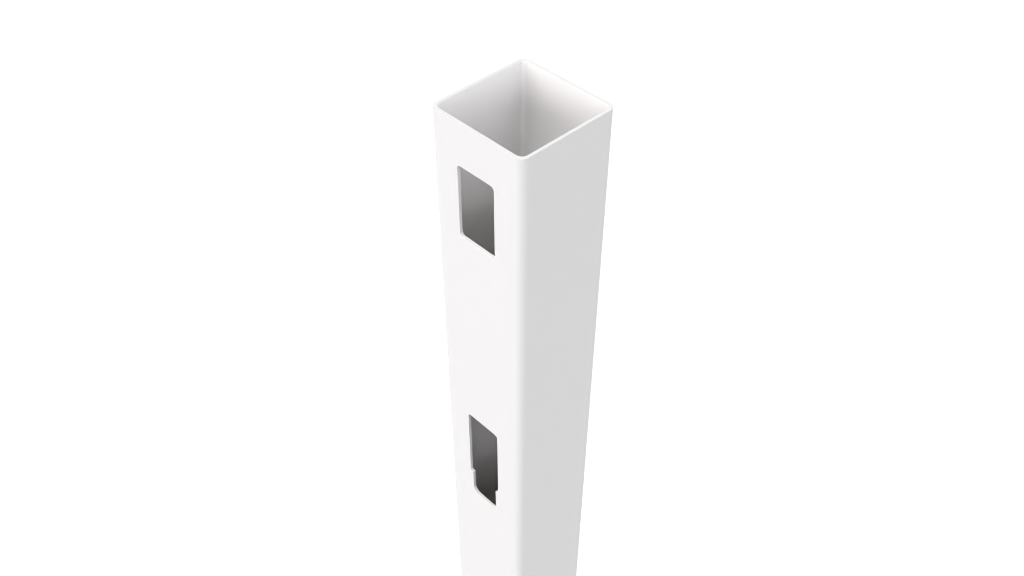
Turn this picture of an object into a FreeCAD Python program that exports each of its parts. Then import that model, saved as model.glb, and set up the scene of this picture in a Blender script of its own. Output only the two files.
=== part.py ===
import FreeCAD, Part
import math
import os

# Square hollow vinyl fence post for the end of a fence run.
# One extruded tube, cut square at both ends, with three rail pockets
# routed through its front wall. The post stands upright on its foot.
# Origin: centre of the foot. +Z up, front (routed) wall towards -Y.
# All values are millimetres.

# Extruded tube
post_length = 2438.4
post_side = 127.0
wall = 3.7
corner_radius = 9.0
inner_corner_radius = 7.0
end_edge_break = 0.2

# Rails that slide into the pockets
end_rail_width = 50.8
end_rail_height = 88.9
mid_rail_head_width = 49.8
mid_rail_head_height = 112.8
mid_rail_neck_width = 40.7
mid_rail_neck_height = 38.4

# Gap left around a rail, on each side and at its top and bottom
rail_side_clearance = 0.5
rail_height_clearance = 0.75

# Routed corners of the pockets
pocket_corner_radius = 4.76
shoulder_lip_radius = 0.5
neck_corner_radius = 9.5
pocket_edge_break = 0.2

# Places of the pockets: two from the top of the post, one from its foot
top_pocket_drop = 50.4
mid_pocket_drop = 423.4
bottom_pocket_rise = 609.6

# How far a cutting body stands past the material that it cuts
cut_overrun = 2.0

# Places closer together than this count as the same
closeness = 0.01

# Worked out from the driving dimensions
half_side = post_side / 2
cavity_side = post_side - 2 * wall
end_pocket_width = end_rail_width + 2 * rail_side_clearance
end_pocket_height = end_rail_height + 2 * rail_height_clearance
mid_head_width = mid_rail_head_width + 2 * rail_side_clearance
mid_neck_width = mid_rail_neck_width + 2 * rail_side_clearance
mid_head_depth = mid_rail_head_height + rail_height_clearance
mid_neck_depth = mid_rail_neck_height + rail_height_clearance
top_pocket_top = post_length - top_pocket_drop
mid_pocket_top = post_length - mid_pocket_drop
bottom_pocket_top = bottom_pocket_rise + end_pocket_height


def level_point(u, v):
    """Point of a section that lies level, at the height of the foot."""
    return FreeCAD.Vector(u, v, 0)


def front_point(u, v):
    """Point of an outline that stands just in front of the front wall."""
    return FreeCAD.Vector(u, -half_side - cut_overrun, v)


def rounded_face(corners, place):
    """Face inside a closed outline whose corners (u, v, radius) are rounded by tangent arcs."""
    entries, middles, exits = [], [], []
    for index, (u, v, radius) in enumerate(corners):
        corner = place(u, v)
        before = place(*corners[index - 1][:2])
        after = place(*corners[(index + 1) % len(corners)][:2])
        towards_before = (before - corner).normalize()
        towards_after = (after - corner).normalize()
        half_angle = towards_before.getAngle(towards_after) / 2
        inward = (towards_before + towards_after).normalize()
        tangent_length = radius / math.tan(half_angle)
        entries.append(corner + towards_before * tangent_length)
        exits.append(corner + towards_after * tangent_length)
        middles.append(corner + inward * (radius / math.sin(half_angle) - radius))
    edges = []
    for index, arc_start in enumerate(entries):
        edges.append(Part.Arc(arc_start, middles[index], exits[index]).toShape())
        next_start = entries[(index + 1) % len(entries)]
        if (next_start - exits[index]).Length > Part.Precision.confusion():
            edges.append(Part.LineSegment(exits[index], next_start).toShape())
    return Part.Face(Part.Wire(edges))


def square_prism(side, radius, start, length):
    """Upright prism with a rounded square section."""
    half = side / 2
    corners = [(half, half, radius), (-half, half, radius),
               (-half, -half, radius), (half, -half, radius)]
    section = rounded_face(corners, level_point)
    section.translate(FreeCAD.Vector(0, 0, start))
    return section.extrude(FreeCAD.Vector(0, 0, length))


def hollow_tube():
    """The extrusion: an even wall, a little thicker in the corners, open at both ends."""
    outside = square_prism(post_side, corner_radius, 0, post_length)
    cavity = square_prism(cavity_side, inner_corner_radius, -cut_overrun, post_length + 2 * cut_overrun)
    return outside.cut(cavity)


def through_front_wall(face):
    """Cutting body from just in front of the front wall to just inside the cavity."""
    return face.extrude(FreeCAD.Vector(0, wall + 2 * cut_overrun, 0))


def end_rail_cut(top):
    """Rectangular pocket for the top or the bottom rail, measured down from its upper edge."""
    half = end_pocket_width / 2
    bottom = top - end_pocket_height
    corners = [(half, top, pocket_corner_radius), (-half, top, pocket_corner_radius),
               (-half, bottom, pocket_corner_radius), (half, bottom, pocket_corner_radius)]
    return through_front_wall(rounded_face(corners, front_point))


def mid_rail_cut(top):
    """Stepped pocket for the middle rail: a wide head over a narrower neck."""
    head = mid_head_width / 2
    neck = mid_neck_width / 2
    shoulder = top - mid_head_depth
    bottom = shoulder - mid_neck_depth
    seat_radius = min(pocket_corner_radius, head - neck - shoulder_lip_radius)
    corners = [(head, top, pocket_corner_radius),
               (-head, top, pocket_corner_radius),
               (-head, shoulder, seat_radius),
               (-neck, shoulder, shoulder_lip_radius),
               (-neck, bottom, neck_corner_radius),
               (neck, bottom, neck_corner_radius),
               (neck, shoulder, shoulder_lip_radius),
               (head, shoulder, seat_radius)]
    return through_front_wall(rounded_face(corners, front_point))


def lies_at_end(edge):
    """True for the edges of the two sawn end faces."""
    box = edge.BoundBox
    at_foot = max(abs(box.ZMin), abs(box.ZMax)) < closeness
    at_top = max(abs(box.ZMin - post_length), abs(box.ZMax - post_length)) < closeness
    return at_foot or at_top


def lies_round_pocket(edge):
    """True for the pocket edges on the outside of the front wall."""
    box = edge.BoundBox
    on_front = max(abs(box.YMin + half_side), abs(box.YMax + half_side)) < closeness
    within_face = max(abs(box.XMin), abs(box.XMax)) < half_side - corner_radius - closeness
    return on_front and within_face


def fence_post():
    """The whole post: tube, three pockets, and the broken edges of the cuts."""
    body = hollow_tube()
    for cutter in (end_rail_cut(top_pocket_top),
                   mid_rail_cut(mid_pocket_top),
                   end_rail_cut(bottom_pocket_top)):
        body = body.cut(cutter)
    body = body.makeChamfer(pocket_edge_break, [edge for edge in body.Edges if lies_round_pocket(edge)])
    return body.makeChamfer(end_edge_break, [edge for edge in body.Edges if lies_at_end(edge)])


post = fence_post()
os.makedirs("parts", exist_ok=True)
post.exportStep("parts/post.step")

print("post: solids", len(post.Solids), "valid", post.isValid(), "volume cm3", round(post.Volume / 1000, 1))
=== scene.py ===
import math

import bpy
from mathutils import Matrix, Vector


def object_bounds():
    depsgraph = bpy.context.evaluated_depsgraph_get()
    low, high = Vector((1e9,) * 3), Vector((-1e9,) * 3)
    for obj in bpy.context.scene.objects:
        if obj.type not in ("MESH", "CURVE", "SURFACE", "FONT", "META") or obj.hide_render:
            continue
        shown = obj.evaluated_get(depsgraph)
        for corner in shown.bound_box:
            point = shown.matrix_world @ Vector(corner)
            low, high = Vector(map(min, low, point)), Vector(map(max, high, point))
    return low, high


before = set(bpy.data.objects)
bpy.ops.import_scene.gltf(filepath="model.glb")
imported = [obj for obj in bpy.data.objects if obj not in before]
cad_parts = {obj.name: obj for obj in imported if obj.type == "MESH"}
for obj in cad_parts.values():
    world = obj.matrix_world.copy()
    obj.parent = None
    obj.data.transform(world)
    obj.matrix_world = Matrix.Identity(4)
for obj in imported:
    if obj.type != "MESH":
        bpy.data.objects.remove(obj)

# White vinyl fence post: an extruded square tube with routed rail pockets in its front (-Y) wall.
# All lengths are metres, in the row frame: origin at the centre of the foot, +Z up.

cad_low, cad_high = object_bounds()

POST_HALF_SIDE = cad_high.x
POST_TOP = cad_high.z
WALL = 0.0037
POCKET_REACH = 0.030


# Camera, fitted to the edges of the photographed post

CAMERA_PLACE = Vector((0.5979, -0.5920, POST_TOP + 0.5518))
CAMERA_AZIMUTH = math.radians(45.985)
CAMERA_TILT = math.radians(43.219)
CAMERA_LENS = 36.49
CAMERA_SENSOR = 36.0


def make_camera():
    """The photograph's viewpoint: in front of the near corner, looking down on the open top."""
    data = bpy.data.cameras.new("camera")
    data.lens = CAMERA_LENS
    data.sensor_width = CAMERA_SENSOR
    camera = bpy.data.objects.new("camera", data)
    bpy.context.scene.collection.objects.link(camera)
    ahead = Vector((-math.sin(CAMERA_AZIMUTH) * math.cos(CAMERA_TILT),
                    math.cos(CAMERA_AZIMUTH) * math.cos(CAMERA_TILT),
                    -math.sin(CAMERA_TILT)))
    camera.location = CAMERA_PLACE
    camera.rotation_euler = ahead.to_track_quat("-Z", "Y").to_euler()
    bpy.context.scene.camera = camera


# Light: soft lamps as (azimuth, elevation, spread, strength, colour), angles in degrees,
# and a pale studio that is dimmer overhead. Azimuth 0 lights the front (-Y) wall, 90 the right (+X) wall.

WARM_WHITE = (1.0, 0.985, 0.975)
SOFT_WHITE = (1.0, 0.990, 0.985)
COOL_WHITE = (0.955, 0.98, 1.0)
WHITE = (1.0, 1.0, 1.0)

LAMPS = {
    "front_low": (0, 12, 40, 1.034, WARM_WHITE),
    "front_high": (0, 60, 40, 0.751, WARM_WHITE),
    "front_left": (315, 35, 40, 0.903, SOFT_WHITE),
    "near_corner": (45, 14, 16, 0.138, WHITE),
    "right": (90, 35, 40, 0.690, COOL_WHITE),
    "back_right": (135, 35, 40, 0.352, COOL_WHITE),
    "back_low": (205, 4, 10, 0.60, WHITE),
}
STUDIO_COLOUR = (0.975, 0.985, 1.0)
STUDIO_WALLS = 1.384
STUDIO_CEILING = 0.391
WALLS_END = 0.2
CEILING_START = 0.4
SEEN_STRENGTH = 1.0


def make_lights():
    """Soft lamps in front, low and high, others on both sides and at the near corner, and two behind."""
    for name, (azimuth, elevation, spread, strength, colour) in LAMPS.items():
        data = bpy.data.lights.new(name, "SUN")
        data.energy = strength
        data.color = colour
        data.angle = math.radians(spread)
        lamp = bpy.data.objects.new(name, data)
        turn, lift = math.radians(azimuth), math.radians(elevation)
        towards = Vector((math.sin(turn) * math.cos(lift),
                          -math.cos(turn) * math.cos(lift),
                          math.sin(lift)))
        lamp.rotation_euler = (-towards).to_track_quat("-Z", "Y").to_euler()
        bpy.context.scene.collection.objects.link(lamp)


def seen_directly(tree):
    """Node output that is 1 for rays from the camera, off gloss or through glass, and 0 for the rest."""
    path = tree.nodes.new("ShaderNodeLightPath")
    total = path.outputs["Is Camera Ray"]
    for name in ("Is Glossy Ray", "Is Transmission Ray"):
        add = tree.nodes.new("ShaderNodeMath")
        add.operation = "MAXIMUM"
        tree.links.new(total, add.inputs[0])
        tree.links.new(path.outputs[name], add.inputs[1])
        total = add.outputs[0]
    return total


def make_world():
    """Studio walls and ceiling as light, plain white where they are seen."""
    world = bpy.data.worlds.new("studio")
    bpy.context.scene.world = world
    world.use_nodes = True
    tree = world.node_tree
    tree.nodes.clear()
    seen = seen_directly(tree)
    height = tree.nodes.new("ShaderNodeSeparateXYZ")
    tree.links.new(tree.nodes.new("ShaderNodeTexCoord").outputs["Generated"], height.inputs[0])
    fade = tree.nodes.new("ShaderNodeMapRange")
    fade.interpolation_type = "SMOOTHSTEP"
    fade.inputs["From Min"].default_value = WALLS_END
    fade.inputs["From Max"].default_value = CEILING_START
    fade.inputs["To Min"].default_value = STUDIO_WALLS
    fade.inputs["To Max"].default_value = STUDIO_CEILING
    tree.links.new(height.outputs["Z"], fade.inputs["Value"])
    lighting = tree.nodes.new("ShaderNodeBackground")
    lighting.inputs["Color"].default_value = (*STUDIO_COLOUR, 1)
    tree.links.new(fade.outputs["Result"], lighting.inputs["Strength"])
    white = tree.nodes.new("ShaderNodeBackground")
    white.inputs["Color"].default_value = (*WHITE, 1)
    white.inputs["Strength"].default_value = SEEN_STRENGTH
    mix = tree.nodes.new("ShaderNodeMixShader")
    out = tree.nodes.new("ShaderNodeOutputWorld")
    tree.links.new(seen, mix.inputs["Fac"])
    tree.links.new(lighting.outputs[0], mix.inputs[1])
    tree.links.new(white.outputs[0], mix.inputs[2])
    tree.links.new(mix.outputs[0], out.inputs["Surface"])


# Floor

FLOOR_HALF = 60.0
FLOOR_COLOUR = (0.02, 0.02, 0.02, 1)
FLOOR_SEEN_COLOUR = (0.42, 0.42, 0.42, 1)
FLOOR_GLOW = 0.58


def make_floor():
    """Plain white floor that keeps the post's shadow."""
    mesh = bpy.data.meshes.new("floor")
    corners = [(-FLOOR_HALF, -FLOOR_HALF, 0), (FLOOR_HALF, -FLOOR_HALF, 0),
               (FLOOR_HALF, FLOOR_HALF, 0), (-FLOOR_HALF, FLOOR_HALF, 0)]
    mesh.from_pydata(corners, [], [(0, 1, 2, 3)])
    floor = bpy.data.objects.new("floor", mesh)
    bpy.context.scene.collection.objects.link(floor)
    material = bpy.data.materials.new("floor_white")
    material.use_nodes = True
    tree = material.node_tree
    tree.nodes.clear()
    lighting = tree.nodes.new("ShaderNodeBsdfDiffuse")
    lighting.inputs["Color"].default_value = FLOOR_COLOUR
    shadowed = tree.nodes.new("ShaderNodeBsdfDiffuse")
    shadowed.inputs["Color"].default_value = FLOOR_SEEN_COLOUR
    glow = tree.nodes.new("ShaderNodeEmission")
    glow.inputs["Color"].default_value = (*WHITE, 1)
    glow.inputs["Strength"].default_value = FLOOR_GLOW
    seen = tree.nodes.new("ShaderNodeAddShader")
    mix = tree.nodes.new("ShaderNodeMixShader")
    out = tree.nodes.new("ShaderNodeOutputMaterial")
    tree.links.new(shadowed.outputs[0], seen.inputs[0])
    tree.links.new(glow.outputs[0], seen.inputs[1])
    tree.links.new(seen_directly(tree), mix.inputs["Fac"])
    tree.links.new(lighting.outputs[0], mix.inputs[1])
    tree.links.new(seen.outputs[0], mix.inputs[2])
    tree.links.new(mix.outputs[0], out.inputs["Surface"])
    mesh.materials.append(material)


# Vinyl

# Extruded skin outside and inside, the sawn ends, and the routed edges of the pockets
SKIN_TONES = ((0.893, 0.881, 0.880), (0.905, 0.892, 0.891))
INNER_TONES = ((0.896, 0.876, 0.872), (0.908, 0.888, 0.884))
# Painted highlight: a paler band down each inner corner, standing in for light on the corner round
PAINTED_CORNER_HIGHLIGHT_COLOUR = (0.980, 0.966, 0.958, 1)
# Sawn ends: darker than the skin, partly a duller cut face and partly painted shade that offsets the
# stronger light falling on these up-facing ends
SAWN_PAINTED_SHADE_TONES = ((0.790, 0.783, 0.778), (0.832, 0.825, 0.821))
# Painted light: the routed pocket edges are paler than the skin, lifting the shade inside the pockets
ROUTED_PAINTED_LIGHT_TONES = ((0.932, 0.926, 0.920), (0.956, 0.950, 0.945))
SKIN_ROUGHNESS = (0.48, 0.58)
INNER_ROUGHNESS = (0.48, 0.60)
CUT_ROUGHNESS = (0.70, 0.86)
VINYL_IOR = 1.53

# Where each surface lies
RIM_DEPTH = 0.0002
SKIN_MARGIN = 0.00003
# Half width of the painted highlight down each inner corner
PAINTED_CORNER_HIGHLIGHT_REACH = 0.0050

# Relief and drift, as heights in metres and features per metre
NOISE_DETAIL = 2.0
NOISE_ROUGHNESS = 0.55
DRIFT_SCALE = 90
DIE_LINE_SCALE = 420
DIE_LINE_STRETCH = 0.004
DIE_LINE_HEIGHT = 0.000009
PEEL_SCALE = 650
PEEL_HEIGHT = 0.000004
WAVE_SCALE = 16
WAVE_STRETCH = 0.25
WAVE_HEIGHT = 0.00012
SAW_PITCH = 0.0011
SAW_HEIGHT = 0.000022
SAW_CENTRE = (0.21, -0.16)
CHATTER_PITCH = 0.0009
CHATTER_HEIGHT = 0.000016
MARK_WANDER = 0.0006
# Half of a sine, plus this, runs from 0 to 1
SINE_HALF = 0.5

# Sockets of the Mix node for its two colours and the mixed one
MIX_FIRST = 6
MIX_SECOND = 7
MIX_RESULT = 2


class Graph:
    """Short names for the few kinds of shader node that the vinyl is made of."""

    def __init__(self, tree):
        self.tree = tree

    def math(self, operation, *values):
        node = self.tree.nodes.new("ShaderNodeMath")
        node.operation = operation
        for socket, value in zip(node.inputs, values):
            self.feed(socket, value)
        return node.outputs[0]

    def feed(self, socket, value):
        """Links a node output to the socket, or sets a plain number on it."""
        if isinstance(value, bpy.types.NodeSocket):
            self.tree.links.new(value, socket)
        else:
            socket.default_value = value

    def stretched(self, point, scale):
        node = self.tree.nodes.new("ShaderNodeVectorMath")
        node.operation = "MULTIPLY"
        self.feed(node.inputs[0], point)
        self.feed(node.inputs[1], scale)
        return node.outputs[0]

    def noise(self, point, scale):
        node = self.tree.nodes.new("ShaderNodeTexNoise")
        self.feed(node.inputs["Vector"], point)
        self.feed(node.inputs["Scale"], scale)
        self.feed(node.inputs["Detail"], NOISE_DETAIL)
        self.feed(node.inputs["Roughness"], NOISE_ROUGHNESS)
        return node.outputs["Fac"]

    def tones(self, factor, pair):
        """Colour between two tones."""
        return self.blend(factor, (*pair[0], 1), (*pair[1], 1))

    def blend(self, factor, first, second):
        node = self.tree.nodes.new("ShaderNodeMix")
        node.data_type = "RGBA"
        self.feed(node.inputs["Factor"], factor)
        self.feed(node.inputs[MIX_FIRST], first)
        self.feed(node.inputs[MIX_SECOND], second)
        return node.outputs[MIX_RESULT]

    def between(self, factor, pair):
        """Number between two limits."""
        low, high = pair
        return self.math("MULTIPLY_ADD", factor, high - low, low)

    def pick(self, mask, off, on):
        """One number where the mask is 0, another where it is 1."""
        span = self.math("SUBTRACT", on, off)
        return self.math("MULTIPLY_ADD", mask, span, off)


def surface_masks(graph, x, y, z):
    """1 on the sawn ends, the routed pocket edges, the inner skin and the painted highlight down each
    inner corner.
    """
    from_middle = graph.math("ABSOLUTE", graph.math("SUBTRACT", z, POST_TOP / 2))
    sawn = graph.math("GREATER_THAN", from_middle, POST_TOP / 2 - RIM_DEPTH)
    reach_x = graph.math("ABSOLUTE", x)
    reach_y = graph.math("ABSOLUTE", y)
    reach = graph.math("MAXIMUM", reach_x, reach_y)
    inner = graph.math("LESS_THAN", reach, POST_HALF_SIDE - WALL + SKIN_MARGIN)
    # Painted highlight down each inner corner, fading out away from the diagonal
    from_diagonal = graph.math("ABSOLUTE", graph.math("SUBTRACT", reach_x, reach_y))
    painted_corner_highlight = graph.math("MULTIPLY_ADD", from_diagonal, -1 / PAINTED_CORNER_HIGHLIGHT_REACH, 1.0)
    painted_corner_highlight = graph.math("MULTIPLY", graph.math("MAXIMUM", painted_corner_highlight, 0.0), inner)
    in_wall = graph.math("MULTIPLY",
                         graph.math("GREATER_THAN", y, -POST_HALF_SIDE + SKIN_MARGIN),
                         graph.math("LESS_THAN", y, -POST_HALF_SIDE + WALL - SKIN_MARGIN))
    near_pocket = graph.math("LESS_THAN", reach_x, POCKET_REACH)
    routed = graph.math("MULTIPLY", in_wall, near_pocket)
    return sawn, routed, inner, painted_corner_highlight


def ripple(graph, along, pitch, wander):
    """Even tool marks across a cut, 0 to 1, drifting a little."""
    phase = graph.math("MULTIPLY_ADD", wander, MARK_WANDER, along)
    wave = graph.math("SINE", graph.math("MULTIPLY", phase, 2 * math.pi / pitch))
    return graph.math("MULTIPLY_ADD", wave, SINE_HALF, SINE_HALF)


def vinyl():
    """Satin white vinyl: die lines down the skin, saw arcs on the ends, chatter on the routed edges."""
    material = bpy.data.materials.new("vinyl")
    material.use_nodes = True
    tree = material.node_tree
    graph = Graph(tree)
    shader = tree.nodes["Principled BSDF"]
    shader.inputs["IOR"].default_value = VINYL_IOR
    point = tree.nodes.new("ShaderNodeTexCoord").outputs["Object"]
    split = tree.nodes.new("ShaderNodeSeparateXYZ")
    tree.links.new(point, split.inputs[0])
    x, y, z = split.outputs
    sawn, routed, inner, painted_corner_highlight = surface_masks(graph, x, y, z)

    die_lines = graph.noise(graph.stretched(point, (1, 1, DIE_LINE_STRETCH)), DIE_LINE_SCALE)
    peel = graph.noise(point, PEEL_SCALE)
    wave = graph.noise(graph.stretched(point, (1, 1, WAVE_STRETCH)), WAVE_SCALE)
    drift = graph.noise(point, DRIFT_SCALE)

    from_saw_x = graph.math("SUBTRACT", x, SAW_CENTRE[0])
    from_saw_y = graph.math("SUBTRACT", y, SAW_CENTRE[1])
    square = graph.math("MULTIPLY", from_saw_y, from_saw_y)
    square = graph.math("MULTIPLY_ADD", from_saw_x, from_saw_x, square)
    saw_marks = ripple(graph, graph.math("SQRT", square), SAW_PITCH, drift)
    chatter = ripple(graph, graph.math("ADD", x, z), CHATTER_PITCH, drift)

    colour = graph.tones(wave, SKIN_TONES)
    colour = graph.blend(inner, colour, graph.tones(die_lines, INNER_TONES))
    # Painted highlight down each inner corner
    colour = graph.blend(painted_corner_highlight, colour, PAINTED_CORNER_HIGHLIGHT_COLOUR)
    # Painted light on the routed pocket edges, against the shade in the pockets
    colour = graph.blend(routed, colour, graph.tones(chatter, ROUTED_PAINTED_LIGHT_TONES))
    # Sawn ends: partly painted shade against the stronger light from above
    colour = graph.blend(sawn, colour, graph.tones(saw_marks, SAWN_PAINTED_SHADE_TONES))
    graph.feed(shader.inputs["Base Color"], colour)

    cut = graph.math("MAXIMUM", sawn, routed)
    skin_roughness = graph.between(die_lines, SKIN_ROUGHNESS)
    inner_roughness = graph.between(die_lines, INNER_ROUGHNESS)
    cut_roughness = graph.between(drift, CUT_ROUGHNESS)
    roughness = graph.pick(inner, skin_roughness, inner_roughness)
    roughness = graph.pick(cut, roughness, cut_roughness)
    graph.feed(shader.inputs["Roughness"], roughness)

    skin_height = graph.math("MULTIPLY", die_lines, DIE_LINE_HEIGHT)
    skin_height = graph.math("MULTIPLY_ADD", peel, PEEL_HEIGHT, skin_height)
    skin_height = graph.math("MULTIPLY_ADD", wave, WAVE_HEIGHT, skin_height)
    saw_height = graph.math("MULTIPLY", saw_marks, SAW_HEIGHT)
    routed_height = graph.math("MULTIPLY", chatter, CHATTER_HEIGHT)
    height = graph.pick(routed, skin_height, routed_height)
    height = graph.pick(sawn, height, saw_height)
    bump = tree.nodes.new("ShaderNodeBump")
    bump.inputs["Distance"].default_value = 1.0
    graph.feed(bump.inputs["Height"], height)
    graph.feed(shader.inputs["Normal"], bump.outputs[0])
    return material


def dress_post():
    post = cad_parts["post"]
    post.data.materials.clear()
    post.data.materials.append(vinyl())


# Width in pixels that each pixel gathers from: narrow, as sharp as the photograph
PIXEL_FILTER = 1.0
# Light bounces between pale walls: few, so that the inside of the tube darkens downwards as photographed
DIFFUSE_BOUNCES = 2


def set_view():
    scene = bpy.context.scene
    scene.view_settings.view_transform = "Standard"
    scene.cycles.use_denoising = True
    scene.cycles.filter_width = PIXEL_FILTER
    scene.cycles.diffuse_bounces = DIFFUSE_BOUNCES


make_camera()
make_lights()
make_world()
make_floor()
dress_post()
set_view()
